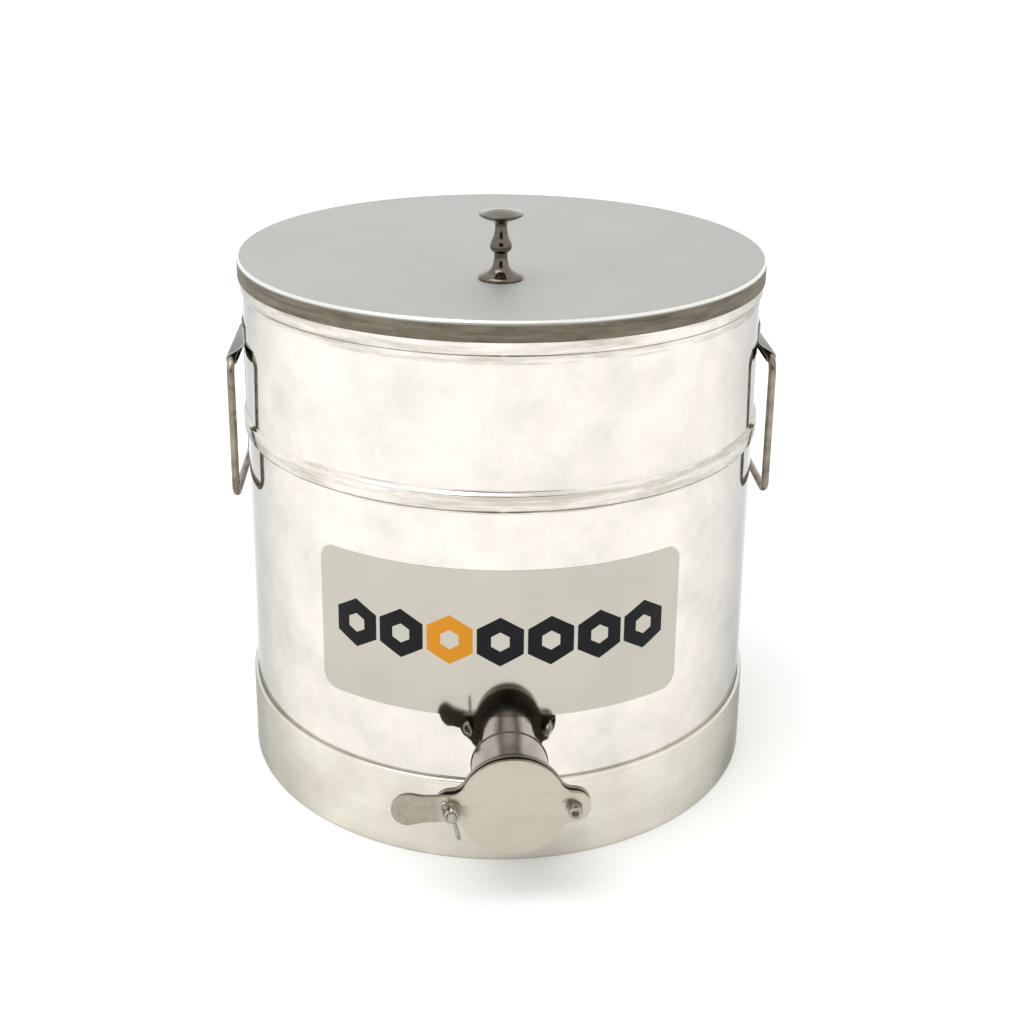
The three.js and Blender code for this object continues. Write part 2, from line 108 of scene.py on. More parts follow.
def noise(tree, place, size, detail, stretch=None, **more):
    """Noise with marks about one size in metres, or one unit once the place is stretched."""
    if stretch:
        place = add_node(tree, "ShaderNodeMapping", {"Vector": place, "Scale": stretch}).outputs["Vector"]
    inputs = {"Vector": place, "Scale": 1 / size, "Detail": detail, **more}
    return add_node(tree, "ShaderNodeTexNoise", inputs).outputs["Fac"]


def remap(tree, value, low, high, to_low=0.0, to_high=1.0):
    """A value moved from one range to another and held at its ends."""
    ends = {"From Min": low, "From Max": high, "To Min": to_low, "To Max": to_high}
    return add_node(tree, "ShaderNodeMapRange", {"Value": value, **ends}).outputs["Result"]


def maths(tree, operation, *values):
    """The result of one operation on numbers or sockets."""
    return add_node(tree, "ShaderNodeMath", dict(enumerate(values)), operation=operation).outputs[0]


def blend(tree, share, first, second):
    """A mix of two colours, each an sRGB hex colour or a socket."""
    ends = [linear(colour) if isinstance(colour, str) else colour for colour in (first, second)]
    inputs = {"Factor": share, 6: ends[0], 7: ends[1]}
    return add_node(tree, "ShaderNodeMix", inputs, data_type="RGBA").outputs[2]


def bump(tree, height, strength, distance, **more):
    """The normal of a surface with a height on it; the distance is in metres."""
    inputs = {"Height": height, "Strength": strength, "Distance": distance, **more}
    return add_node(tree, "ShaderNodeBump", inputs).outputs["Normal"]


def dress(tree, shader, colour, roughness, normal=None, metallic=1.0):
    """Joins colour, roughness and normal to a shader, which is a metal unless told otherwise."""
    tree.links.new(colour, shader.inputs["Base Color"])
    tree.links.new(roughness, shader.inputs["Roughness"])
    if normal is not None:
        tree.links.new(normal, shader.inputs["Normal"])
    shader.inputs["Metallic"].default_value = metallic


def painted_studio_floor():
    """Matt white studio paint: no gloss and almost no colour."""
    material, tree, shader = new_material("painted_studio_floor")
    mottle = noise(tree, object_place(tree), 2 / 3, 2.0)
    tree.links.new(blend(tree, mottle, "#f4f4f3", "#f8f8f7"), shader.inputs["Base Color"])
    shader.inputs["Roughness"].default_value = 0.95
    shader.inputs["Specular IOR Level"].default_value = 0.1
    return material


FLOOR_SIZE = 60
bpy.ops.mesh.primitive_grid_add(x_subdivisions=4, y_subdivisions=4, size=FLOOR_SIZE, location=(0, 0, 0))
studio_floor = bpy.context.object
studio_floor.name = "studio_floor"
studio_floor.data.materials.append(painted_studio_floor())

world = bpy.data.worlds.new("studio_room")
bpy.context.scene.world = world
world.use_nodes = True
room = world.node_tree
# the dark patch lies in front, from just above the floor to a little over half way up
direction = add_node(room, "ShaderNodeTexCoord").outputs["Generated"]
heading = add_node(room, "ShaderNodeSeparateXYZ", {"Vector": direction}).outputs
above = remap(room, heading["Z"], 0.02, 0.1)
below = remap(room, heading["Z"], 0.6, 0.45)
middle = remap(room, maths(room, "ABSOLUTE", heading["X"]), 0.5, 0.3)
front = remap(room, heading["Y"], -0.3, -0.5)
band = maths(room, "MULTIPLY", above, below)
patch = maths(room, "MULTIPLY", middle, front)
walls = blend(room, maths(room, "MULTIPLY", band, patch), "#ffffff", "#3a3835")
room.links.new(walls, room.nodes["Background"].inputs["Color"])
room.nodes["Background"].inputs["Strength"].default_value = 1.22


def soft_box(name, place, target, size, power):
    """A white square area light that faces a point."""
    light = bpy.data.lights.new(name, "AREA")
    light.size = size
    light.energy = power
    lamp = bpy.data.objects.new(name, light)
    bpy.context.collection.objects.link(lamp)
    lamp.location = place
    lamp.rotation_euler = (Vector(target) - Vector(place)).to_track_quat("-Z", "Y").to_euler()


soft_box("top_soft_box", (-0.7, -0.5, 2.6), (0, 0, 0.2), 1.6, 22)


# ---- Tank shell --------------------
# One stainless sheet, rolled and welded, with a swaged bead round the middle, a hoop stepped out
# under the mouth and the edge rolled inward. Bright-rolled, so it mirrors the floor and the gate.
MM = 0.001
SIDES = 320
WALL = 200.8  # outside radius of the plain wall, mm
SHEET = 0.8
BEAD = (274.5, 290.9, 2.5)  # foot, head and how far the bead stands out
HOOP = (385.0, 2.0)  # foot and how far the hoop stands out
STEP_RISE = 3.4
HOOP_STEP = HOOP[0] + 1  # where the step out to the hoop begins
STAIN_REACH = 0.009  # metres above and below the bead and the hoop
ROLL_RADIUS = 2.2
TUBE_GAP = 0.3  # round the tube, where it goes through shell and skirt


def box_mm(node):
    """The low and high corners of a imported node's box, in mm."""
    return [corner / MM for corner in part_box(node)]


def arc(cx, cy, radius, start, end, steps):
    """Points on a circle from one angle to another, in degrees."""
    angles = [math.radians(start + (end - start) * i / steps) for i in range(steps + 1)]
    return [(cx + radius * math.cos(a), cy + radius * math.sin(a)) for a in angles]


def swage(radius, low, high, out, steps=8):
    """A smooth step of the wall from one radius to another, between two heights."""
    shares = [i / steps for i in range(steps + 1)]
    return [(radius + out * (1 - math.cos(math.pi * t)) / 2, low + (high - low) * t) for t in shares]


def to_piece(bm, name):
    """Makes an edited mesh an object."""
    mesh = bpy.data.meshes.new(name)
    bm.to_mesh(mesh)
    bm.free()
    piece = bpy.data.objects.new(name, mesh)
    bpy.context.collection.objects.link(piece)
    return piece


def finish_mesh(bm, name, material, sharp=30):
    """Merges doubles, turns faces outward and makes the mesh an object with smooth shading."""
    bmesh.ops.remove_doubles(bm, verts=bm.verts, dist=1e-7)
    bmesh.ops.dissolve_degenerate(bm, edges=bm.edges, dist=1e-8)
    bmesh.ops.recalc_face_normals(bm, faces=bm.faces)
    piece = to_piece(bm, name)
    piece.data.shade_smooth()
    piece.data.set_sharp_from_angle(angle=math.radians(sharp))
    piece.data.materials.append(material)
    return piece


def skin(bm, row, after, closed=True):
    """Faces between two rows of vertices."""
    for j in range(len(row) if closed else len(row) - 1):
        k = (j + 1) % len(row)
        bm.faces.new((row[j], after[j], after[k], row[k]))


def turn(name, outline, material, sides=SIDES, place=None, closed=True, sharp=30):
    """Turns an outline of (radius, height) pairs in mm round an upright axis, or round one set by place."""
    bm = bmesh.new()
    rows = []
    for i in range(sides):
        angle = 2 * math.pi * i / sides
        ring = [(r * math.cos(angle) * MM, r * math.sin(angle) * MM, z * MM) for r, z in outline]
        rows.append([bm.verts.new(point) for point in ring])
    for row, after in zip(rows, rows[1:] + rows[:1]):
        skin(bm, row, after, closed)
    bmesh.ops.transform(bm, matrix=place or Matrix.Translation(AXIS), verts=bm.verts)
    return finish_mesh(bm, name, material, sharp)


def keep_result(piece):
    """Puts what a piece's modifiers make of its mesh in place of the mesh."""
    old = piece.data
    piece.data = bpy.data.meshes.new_from_object(piece.evaluated_get(bpy.context.evaluated_depsgraph_get()))
    piece.modifiers.clear()
    bpy.data.meshes.remove(old)
    piece.data.name = piece.name


def combine(piece, operation, *tools):
    """Cuts tool objects out of a piece, joins them to it or keeps what is common, and removes them."""
    for tool in tools:
        boolean = piece.modifiers.new("combine", "BOOLEAN")
        boolean.operation = operation
        boolean.solver = "EXACT"
        boolean.object = tool
    keep_result(piece)
    for tool in tools:
        bpy.data.objects.remove(tool)


def cut(piece, *tools, sharp=30):
    """Cuts tool objects out of a piece, and marks its sharp edges again."""
    combine(piece, "DIFFERENCE", *tools)
    piece.data.set_sharp_from_angle(angle=math.radians(sharp))


def plain_bar(radius, near, far, sides, place):
    """A round or many-sided bar between two heights or depths, as a tool."""
    outline = [(0, near), (radius, near), (radius, far), (0, far)]
    return turn("bar_tool", outline, mirror_steel, sides, place, closed=False)


def bright_rolled_steel():
    """Bright-rolled stainless sheet: a near mirror with cloudy handling marks, and brown-grey stains
    from the swaging tool along the bead and under the hoop."""
    material, tree, shader = new_material("bright_rolled_steel")
    place = object_place(tree)
    height = add_node(tree, "ShaderNodeSeparateXYZ", {"Vector": place}).outputs["Z"]
    clouds = noise(tree, place, 0.05, 7.0, Roughness=0.65)
    tone = blend(tree, remap(tree, clouds, 0.32, 0.6), "#d6d2cd", "#ece5de")
    smears = noise(tree, place, 1.0, 5.0, (14.0, 14.0, 160.0), Roughness=0.7)
    near_bead = maths(tree, "COMPARE", height, (BEAD[0] + BEAD[1]) / 2 * MM, STAIN_REACH)
    near_hoop = maths(tree, "COMPARE", height, (HOOP[0] + 5) * MM, STAIN_REACH)
    swaged = maths(tree, "MAXIMUM", near_bead, near_hoop)
    stained = maths(tree, "MULTIPLY", swaged, remap(tree, smears, 0.45, 0.62))
    colour = blend(tree, maths(tree, "MULTIPLY", stained, 0.6), tone, "#a39b8c")
    rough = maths(tree, "MULTIPLY_ADD", stained, 0.15, remap(tree, clouds, 0.35, 0.7, 0.03, 0.07))
    dents = bump(tree, noise(tree, place, 0.09, 1.0), 0.25, 0.0004)
    lines = noise(tree, place, 1.0, 3.0, (4.0, 4.0, 900.0))
    dress(tree, shader, colour, rough, bump(tree, lines, 0.05, 0.00005, Normal=dents))
    shader.inputs["Specular Tint"].default_value = linear("#cdd0d1")
    return material


shell_low, shell_high = box_mm("tank_shell")


def wall_outline(radius):
    """One face of the sheet, from the foot of the shell up to the rolled rim."""
    foot, head, stand = BEAD
    return [
        (radius, shell_low.z),
        *swage(radius, foot, foot + STEP_RISE, stand),
        *swage(radius + stand, head - STEP_RISE, head, -stand),
        *swage(radius, HOOP_STEP, HOOP_STEP + STEP_RISE, HOOP[1]),
    ]


roll_x = WALL + HOOP[1] - ROLL_RADIUS
roll_z = shell_high.z - ROLL_RADIUS
shell_outline = [
    *wall_outline(WALL),
    *arc(roll_x, roll_z, ROLL_RADIUS, 0, 250, 16),
    (roll_x + SHEET, roll_z - ROLL_RADIUS),
    *reversed(wall_outline(WALL - SHEET)),
]
mirror_steel = bright_rolled_steel()
tank_shell = turn("shell", shell_outline, mirror_steel)

# The gate's tube goes through the shell and the skirt.
tube_low, tube_high = box_mm("gate_tube")
TUBE_RADIUS = (tube_high.x - tube_low.x) / 2
GATE_Z = (tube_high.z + tube_low.z) / 2


def forward(x=0.0, z=0.0, depth=0.0):
    """The place of a piece turned about an axis that points at the front: its heights run along -Y."""
    return Matrix.Translation((x * MM, -depth * MM, z * MM)) @ Matrix.Rotation(math.pi / 2, 4, "X")


def tube_cutter():
    """A bar a little wider than the tube, through the front of the tank."""
    return plain_bar(TUBE_RADIUS + TUBE_GAP, -tube_high.y - 40, -tube_low.y, 96, forward(0, GATE_Z))


cut(tank_shell, tube_cutter())
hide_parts("tank_shell")
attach(tank_shell, "tank")


# ---- Base skirt --------------------
# A ring of sheet round the foot: turned in at the top to a narrow ledge against the wall, and
# folded back inside at the bottom so that the tank stands on a round edge. Fine satin finish.
SKIRT_SHEET = 1.0
HEM = 4.0
HEM_HIGH = 4.2
HEM_ROUND = 1.5
FOOT_ROUND = 1.2
LEDGE_GAP = 0.3
SKIRT_EDGE = 1.4


def satin_steel(name, dark, light, rough, blotch=0.05):
    """Satin stainless sheet: fine lines round the tank and soft blotches of tone."""
    material, tree, shader = new_material(name)
    place = object_place(tree)
    blotches = noise(tree, place, blotch, 6.0)
    lines = noise(tree, place, 1.0, 4.0, (3.0, 3.0, 500.0))
    mixed = maths(tree, "ADD", blotches, maths(tree, "MULTIPLY", lines, 0.35))
    tone = blend(tree, remap(tree, mixed, 0.45, 0.9), dark, light)
    roughness = remap(tree, blotches, 0.3, 0.7, rough, rough + 0.1)
    dress(tree, shader, tone, roughness, bump(tree, lines, 0.12, 0.00005))
    shader.inputs["Specular Tint"].default_value = linear("#b4b6b6")
    return material


skirt_low, skirt_high = box_mm("base_skirt")
skirt_radius = (skirt_high.x - skirt_low.x) / 2
skirt_inside = skirt_radius - SKIRT_SHEET
ledge = WALL + LEDGE_GAP
ledge_under = skirt_high.z - SKIRT_SHEET
hem_x = skirt_radius - HEM + HEM_ROUND
skirt_outline = [
    (ledge, skirt_high.z),
    (ledge, ledge_under),
    (skirt_inside - 0.4, ledge_under),
    (skirt_inside, ledge_under - 0.4),
    (skirt_inside, HEM_HIGH + HEM_ROUND + 1.3),
    *arc(hem_x, HEM_HIGH, HEM_ROUND, 90, 180, 4),
    *arc(hem_x, HEM_ROUND, HEM_ROUND, 180, 270, 4),
    *arc(skirt_radius - FOOT_ROUND, FOOT_ROUND, FOOT_ROUND, 270, 360, 4),
    *arc(skirt_radius - SKIRT_EDGE, skirt_high.z - SKIRT_EDGE, SKIRT_EDGE, 0, 90, 5),
]
skirt_steel = satin_steel("satin_skirt_steel", "#cfcabf", "#e9e5db", 0.2)
base_skirt = turn("skirt", skirt_outline, skirt_steel)
cut(base_skirt, tube_cutter())
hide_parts("base_skirt")
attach(base_skirt, "tank")


# ---- Front label -------------------
# A silver self-adhesive film with round corners, printed with a plain row of honeycomb cells. It is
# glossy and thin, so it mirrors the gate as the wall does, but greyer.
LABEL = {"left": -148.0, "right": 132.8, "low": 117.0, "high": 232.0, "corner": 12.0, "film": 0.15}
LABEL_GAP = 0.03
LABEL_ROWS = 12
LABEL_COLUMNS = 80
CELL_PITCH = 36.0
CELL_RADIUS = 16.6
CELL_HOLE = 6.5
CELLS = 7
AMBER_CELL = 2.0  # counted from 0 at the left
CELL_ROW_MIDDLE = (-7.5, 177.0)


def silver_film():
    """Metallised polyester film: grey silver under clear gloss, with black and amber print."""
    material, tree, shader = new_material("silver_film")
    surface = add_node(tree, "ShaderNodeUVMap", uv_map="film").outputs["UV"]
    split_uv = add_node(tree, "ShaderNodeSeparateXYZ", {"Vector": surface}).outputs
    # distances in mm along the row and above its middle line
    run = maths(tree, "MULTIPLY_ADD", split_uv["X"], 1000.0, CELL_PITCH * CELLS / 2 - CELL_ROW_MIDDLE[0])
    rise = maths(tree, "MULTIPLY_ADD", split_uv["Y"], 1000.0, -CELL_ROW_MIDDLE[1])
    number = maths(tree, "DIVIDE", run, CELL_PITCH)
    cell = maths(tree, "FLOOR", number)
    inside = maths(tree, "SUBTRACT", number, cell)
    across = maths(tree, "ABSOLUTE", maths(tree, "MULTIPLY_ADD", inside, CELL_PITCH, -CELL_PITCH / 2))
    up = maths(tree, "ABSOLUTE", rise)
    # how far out a point is, measured to the sides of a hexagon that stands on a corner
    slant = maths(tree, "MULTIPLY_ADD", across, 0.5, maths(tree, "MULTIPLY", up, math.cos(math.pi / 6)))
    reach = maths(tree, "MAXIMUM", across, slant)
    within = maths(tree, "LESS_THAN", reach, CELL_RADIUS)
    beyond = maths(tree, "GREATER_THAN", reach, CELL_HOLE)
    ring = maths(tree, "MULTIPLY", within, beyond)
    first = maths(tree, "GREATER_THAN", cell, -0.5)
    last = maths(tree, "LESS_THAN", cell, CELLS - 0.5)
    ink = maths(tree, "MULTIPLY", ring, maths(tree, "MULTIPLY", first, last))
    ink_colour = blend(tree, maths(tree, "COMPARE", cell, AMBER_CELL, 0.5), "#101114", "#d08a1c")
    silver = blend(tree, noise(tree, object_place(tree), 0.05, 4.0), "#b1ada4", "#c3beb4")
    tree.links.new(blend(tree, ink, silver, ink_colour), shader.inputs["Base Color"])
    tree.links.new(maths(tree, "SUBTRACT", 1.0, ink), shader.inputs["Metallic"])
    shader.inputs["Roughness"].default_value = 0.09
    shader.inputs["Specular IOR Level"].default_value = 0.15
    return material


def label_piece():
    """The film as a fine curved sheet, with its length and height in metres as its UV map."""
    corner = LABEL["corner"]
    bend = arc(0, 0, corner, 180, 90, 8)
    left = [(LABEL["left"] + corner + x, y) for x, y in bend]
    right = [(LABEL["right"] - corner - x, y) for x, y in reversed(bend)]
    straight_run = LABEL["right"] - LABEL["left"] - 2 * corner
    step = straight_run / LABEL_COLUMNS
    straight = [(LABEL["left"] + corner + step * i, corner) for i in range(1, LABEL_COLUMNS)]
    bm = bmesh.new()
    uv = bm.loops.layers.uv.new("film")

    def column(run, lift, radius):
        """A vertex at each height of one upright line, with its place on the film."""
        low = LABEL["low"] + corner - lift
        high = LABEL["high"] - corner + lift
        x = radius * math.sin(run / WALL)
        y = -radius * math.cos(run / WALL)
        heights = [low + (high - low) * i / LABEL_ROWS for i in range(LABEL_ROWS + 1)]
        return [(bm.verts.new((x * MM, y * MM, z * MM)), run * MM, z * MM) for z in heights]

    def face(*corners):
        """A face between such vertices, with its place on the film."""
        made = bm.faces.new([c[0] for c in corners])
        for loop, c in zip(made.loops, corners):
            loop[uv].uv = (c[1], c[2])

    back_radius = WALL + LABEL_GAP
    profile = [*left, *straight, *right]
    sides = [(column(*p, back_radius), column(*p, back_radius + LABEL["film"])) for p in profile]
    for (back, front), (next_back, next_front) in zip(sides, sides[1:]):
        for j in range(LABEL_ROWS):
            face(front[j], next_front[j], next_front[j + 1], front[j + 1])
            face(next_back[j], back[j], back[j + 1], next_back[j + 1])
        face(back[0], next_back[0], next_front[0], front[0])
        face(front[-1], next_front[-1], next_back[-1], back[-1])
    for back, front in (sides[0], sides[-1]):
        for j in range(LABEL_ROWS):
            face(back[j], front[j], front[j + 1], back[j + 1])
    bmesh.ops.transform(bm, matrix=Matrix.Translation(AXIS), verts=bm.verts)
    return finish_mesh(bm, "label", silver_film())


label = label_piece()
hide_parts("front_label")
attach(label, "tank")


# ---- Sloping floor -----------------
# The round plate inside the shell, which falls to the gate. It stays as it is, in satin steel.
inside_steel = satin_steel("satin_inside_steel", "#a9a7a1", "#cbc9c3", 0.28, 0.08)
floor_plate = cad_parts["tank_floor"]
floor_plate.data.materials.clear()
floor_plate.data.materials.append(inside_steel)


# ---- Lid ---------------------------
# A pan pressed from dull-rolled sheet: a flat top with a glossy edge, painted pale as a highlight,
# and a darker rim, where the press has rubbed the steel.
LID_SHEET = 0.8
LID_EDGE = 3.5
LID_HOLE = 2.8
lid_low, lid_high = box_mm("lid_pan")
lid_radius = (lid_high.x - lid_low.x) / 2


def pressed_lid_steel():
    """Dull-rolled stainless: soft grey with faint wipe marks, a brown-grey rim with draw marks, and
    a glossy edge between them, whose pale colour is a painted highlight."""
    material, tree, shader = new_material("pressed_lid_steel")
    place = object_place(tree)
    height = add_node(tree, "ShaderNodeSeparateXYZ", {"Vector": place}).outputs["Z"]
    clouds = noise(tree, place, 0.12, 8.0, Roughness=0.6)
    lines = noise(tree, place, 1.0, 4.0, (500.0, 6.0, 6.0))
    marks = noise(tree, place, 1.0, 6.0, (30.0, 30.0, 260.0), Roughness=0.7)
    top_tone = blend(tree, clouds, "#a8a9a5", "#b7b8b3")
    rim_tone = blend(tree, remap(tree, marks, 0.3, 0.7), "#5f584d", "#8d8577")
    on_rim = remap(tree, height, (lid_high.z - 3.6) * MM, (lid_high.z - 2.6) * MM, 1.0, 0.0)
    # the edge band: low roughness, and a pale colour that is a painted highlight
    edge_gloss_and_painted_highlight = maths(tree, "COMPARE", height, (lid_high.z - 1.4) * MM, 0.9 * MM)
    tone = blend(tree, edge_gloss_and_painted_highlight, blend(tree, on_rim, top_tone, rim_tone), "#dfddd8")
    rough = remap(tree, edge_gloss_and_painted_highlight, 0.0, 1.0, 0.62, 0.16)
    dress(tree, shader, tone, rough, bump(tree, lines, 0.1, 0.00005))
    return material


edge_x = lid_radius - LID_EDGE
edge_z = lid_high.z - LID_EDGE
lid_outline = [
    (0, lid_high.z - LID_SHEET),
    *arc(edge_x, edge_z, LID_EDGE - LID_SHEET, 90, 0, 8),
    (lid_radius - LID_SHEET, lid_low.z + 0.1),
    (lid_radius - LID_SHEET + 0.1, lid_low.z),
    (lid_radius - 0.1, lid_low.z),
    (lid_radius, lid_low.z + 0.1),
    *arc(edge_x, edge_z, LID_EDGE, 0, 90, 10),
    (0, lid_high.z),
]
lid = turn("lid", lid_outline, pressed_lid_steel(), closed=False)
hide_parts("lid_pan")
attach(lid, "lid")


# ---- Lid knob ----------------------
# Turned from bar and polished, darker than the sheet, partly by painted shade: a wide foot, a waisted
# stem with a collar, and a button with a shallow crown.
def polished_knob_metal():
    """Polished nickel-plated steel: very smooth, with faint rings from the lathe; its dark colour is partly
    the metal and partly painted shade, for the dark room it mirrors.
    """
    material, tree, shader = new_material("polished_knob_metal")
    place = object_place(tree)
    lines = noise(tree, place, 1.0, 3.0, (20.0, 20.0, 1500.0))
    smears = noise(tree, place, 0.008, 4.0)
    rough = remap(tree, smears, 0.0, 1.0, 0.05, 0.16)
    # the dark brown tones are partly painted shade, standing in for dark reflections
    dress(tree, shader, blend(tree, smears, "#4c463d", "#7b7266"), rough, bump(tree, lines, 0.08, 0.00004))
    return material


def smoothed(points, steps=5):
    """A smooth curve through the points, as a Catmull-Rom spline."""
    ends = [points[0], *points, points[-1]]
    curve = []
    for p, q, r, s in zip(ends, ends[1:], ends[2:], ends[3:]):
        for i in range(steps):
            t = i / steps
            square = t**2
            cube = t**3
            near_pull = 2 - 5 * square + 3 * cube
            far_pull = t + 4 * square - 3 * cube
            pulls = (2 * square - t - cube, near_pull, far_pull, cube - square)
            curve.append(tuple(sum(w * v[k] for w, v in zip(pulls, (p, q, r, s))) / 2 for k in (0, 1)))
    return [*curve, points[-1]]


knob_low, knob_high = box_mm("lid_knob")
knob_middle = (knob_low + knob_high) / 2 * MM
knob_place = Matrix.Translation((knob_middle.x, knob_middle.y, 0))
knob_stem = [
    (16.0, 1.6), (14.6, 2.8), (10.4, 4.5), (6.9, 7.5), (5.2, 12.2), (4.7, 16.6),
    (5.4, 19.3), (7.3, 20.9), (7.9, 23.7), (7.2, 26.9), (5.5, 30.6), (4.5, 35.5),
    (4.4, 39.4), (6.7, 41.8), (12.6, 44.1), (15.9, 46.2),
]
knob_outline = [
    (0, 13.5),
    (LID_HOLE, 13),
    (LID_HOLE, 0),
    (15.9, 0),
    *arc(15.7, 0.7, 0.7, -90, 60, 5),
    *smoothed(knob_stem),
    *arc(15.6, 47.0, 0.55, -40, 80, 5),
    *[(15.0 - i, 47.6 + 2.7 * math.sin(math.radians(90 * i / 15))) for i in range(1, 16)],
]
knob_outline = [(r, knob_low.z + up) for r, up in knob_outline]
knob = turn("knob", knob_outline, polished_knob_metal(), 96, knob_place, closed=False, sharp=50)
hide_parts("lid_knob")
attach(knob, "lid")


# ---- Drop handles ------------------
# Each ring is a 6 mm stainless rod bent round and butt-welded, hanging from the curl of its bracket.
ROD_RADIUS = 3.0
RING_CORNER = 9.0


def drawn_rod_steel():
    """Drawn stainless rod: brown-grey, with scratches along its length and darker spots."""
    material, tree, shader = new_material("drawn_rod_steel")
    place = object_place(tree)
    spots = noise(tree, place, 0.012, 5.0)
    lines = noise(tree, place, 1.0, 3.0, (900.0, 60.0, 60.0))
    tone = blend(tree, remap(tree, spots, 0.3, 0.7), "#6f675a", "#a0978a")
    rough = remap(tree, spots, 0.0, 1.0, 0.18, 0.4)
    dress(tree, shader, tone, rough, bump(tree, lines, 0.2, 0.00005))
    return material


def begin_tree(name, **inputs):
    """A geometry tree with a path coming in, geometry going out and the named inputs."""
    tree = bpy.data.node_groups.new(name, "GeometryNodeTree")
    for key, kind in {"Geometry": "Geometry", **inputs, "Finish": "Material"}.items():
        label_text = key.replace("_", " ")
        tree.interface.new_socket(label_text, in_out="INPUT", socket_type=f"NodeSocket{kind}")
    tree.interface.new_socket("Geometry", in_out="OUTPUT", socket_type="NodeSocketGeometry")
    given = add_node(tree, "NodeGroupInput").outputs
    path = add_node(tree, "GeometryNodeMeshToCurve", {"Mesh": given["Geometry"]})
    return tree, given, path.outputs["Curve"]


def end_tree(tree, geometry, finish):
    """Makes the result real and smooth, gives it its material and sends it out."""
    real = add_node(tree, "GeometryNodeRealizeInstances", {0: geometry})
    smooth = add_node(tree, "GeometryNodeSetShadeSmooth", {0: real.outputs[0]})
    painted = add_node(tree, "GeometryNodeSetMaterial", {"Geometry": smooth.outputs[0], "Material": finish})
    add_node(tree, "NodeGroupOutput", {"Geometry": painted.outputs["Geometry"]})
    return tree


def rod_tree():
    """Geometry nodes that give a path the thickness of a rod."""
    tree, given, path = begin_tree("rod_on_path", Rod_Radius="Float", Sides="Int")
    outline = {"Resolution": given["Sides"], "Radius": given["Rod Radius"]}
    section = add_node(tree, "GeometryNodeCurvePrimitiveCircle", outline).outputs["Curve"]
    sweep = {"Curve": path, "Profile Curve": section, "Fill Caps": True}
    rod = add_node(tree, "GeometryNodeCurveToMesh", sweep)
    return end_tree(tree, rod.outputs["Mesh"], given["Finish"])


def grow(name, points, tree, closed=False, **inputs):
    """Runs a node tree on a path of points in metres, and keeps the result as a plain mesh."""
    bm = bmesh.new()
    verts = [bm.verts.new(point) for point in points]
    for a, b in zip(verts, verts[1:] + verts[:1] if closed else verts[1:]):
        bm.edges.new((a, b))
    piece = to_piece(bm, name)
    nodes = piece.modifiers.new("nodes", "NODES")
    nodes.node_group = tree
    sockets = {item.name: item.identifier for item in tree.interface.items_tree if item.in_out == "INPUT"}
    for label_text, value in inputs.items():
        nodes[sockets[label_text.replace("_", " ")]] = value
    keep_result(piece)
    return piece


rod_steel = drawn_rod_steel()
rod_nodes = rod_tree()
for side in ("left", "right"):
    low, high = box_mm(f"{side}_handle_ring")
    middle = (low + high) / 2
    half_width = (high.y - low.y) / 2 - ROD_RADIUS - RING_CORNER
    half_height = (high.z - low.z) / 2 - ROD_RADIUS - RING_CORNER
    corners = [(1, 1, 0), (-1, 1, 90), (-1, -1, 180), (1, -1, 270)]
    path = [
        (middle.x * MM, (middle.y + y) * MM, (middle.z + z) * MM)
        for way_y, way_z, start in corners
        for y, z in arc(way_y * half_width, way_z * half_height, RING_CORNER, start, start + 90, 12)
    ]
    ring = grow(
        f"{side}_ring", path, rod_nodes, closed=True, Rod_Radius=ROD_RADIUS * MM, Sides=24, Finish=rod_steel
    )
    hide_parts(f"{side}_handle_ring")
    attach(ring, f"{side}_handle")


# ---- Handle brackets ---------------
# A strip of 1.2 mm sheet on each side: its upper edge lies along the wall and is welded to it, then it
# flares out at 45 degrees and curls under the ring's top bar. Satin, dulled by the weld.
BRACKET_SHEET = 1.2
CURL_RADIUS = 4.0  # of the middle of the sheet
BEND = 2.5
STRIP_STEPS = 28


def strip_outline(pivot, flange_x, flange_top):
    """The strip seen from its end: x outward, z up, with how far each point belongs to the wall."""
    curl = arc(pivot[0], pivot[1], CURL_RADIUS, 45, -165, 28)
    flare_x, flare_z = curl[0]
    bend_z = flare_z + (flare_x - flange_x)
    bend = []
    for t in (0, 0.25, 0.5, 0.75, 1):
        out = BEND * (1 - t) ** 2
        bend.append((flange_x + out, bend_z - out + BEND * t**2))
    path = [(flange_x, flange_top), (flange_x, bend_z + 8), *reversed(bend), *curl]
    sides = ([], [])
    for i, (x, z) in enumerate(path):
        before = path[max(i - 1, 0)]
        after = path[min(i + 1, len(path) - 1)]
        way = Vector((after[0] - before[0], after[1] - before[1])).normalized()
        share = min(max((flare_x - x) / (flare_x - flange_x), 0), 1) if i < len(path) - len(curl) else 0
        for side, sign in zip(sides, (1, -1)):
            off = sign * BRACKET_SHEET / 2
            side.append((x - way.y * off, z + way.x * off, share))
    return [*sides[0], *reversed(sides[1])]


def bracket_piece(name, node, sign, material):
    """Sweeps the strip along the top bar; the part at the wall follows the wall's curve."""
    low, high = box_mm(node)
    ring_low, ring_high = box_mm(node.replace("bracket", "ring"))
    pivot = (abs(ring_low.x + ring_high.x) / 2, ring_high.z - ROD_RADIUS)
    outline = strip_outline(pivot, WALL + 0.3 + BRACKET_SHEET / 2, high.z)
    half = (high.y - low.y) / 2
    middle = (high.y + low.y) / 2
    bm = bmesh.new()
    rows = []
    for i in range(STRIP_STEPS + 1):
        y = -half + 2 * half * i / STRIP_STEPS
        fall = WALL - math.sqrt(WALL**2 - y**2)
        line = [(sign * (x - fall * share), middle + y, z) for x, z, share in outline]
        rows.append([bm.verts.new(Vector(point) * MM) for point in line])
    for row, after in zip(rows, rows[1:]):
        skin(bm, row, after)
    pairs = len(outline) // 2
    for row in (rows[0], rows[-1]):
        for j in range(pairs - 1):
            bm.faces.new((row[j], row[j + 1], row[-j - 2], row[-j - 1]))
    return finish_mesh(bm, name, material, 40)


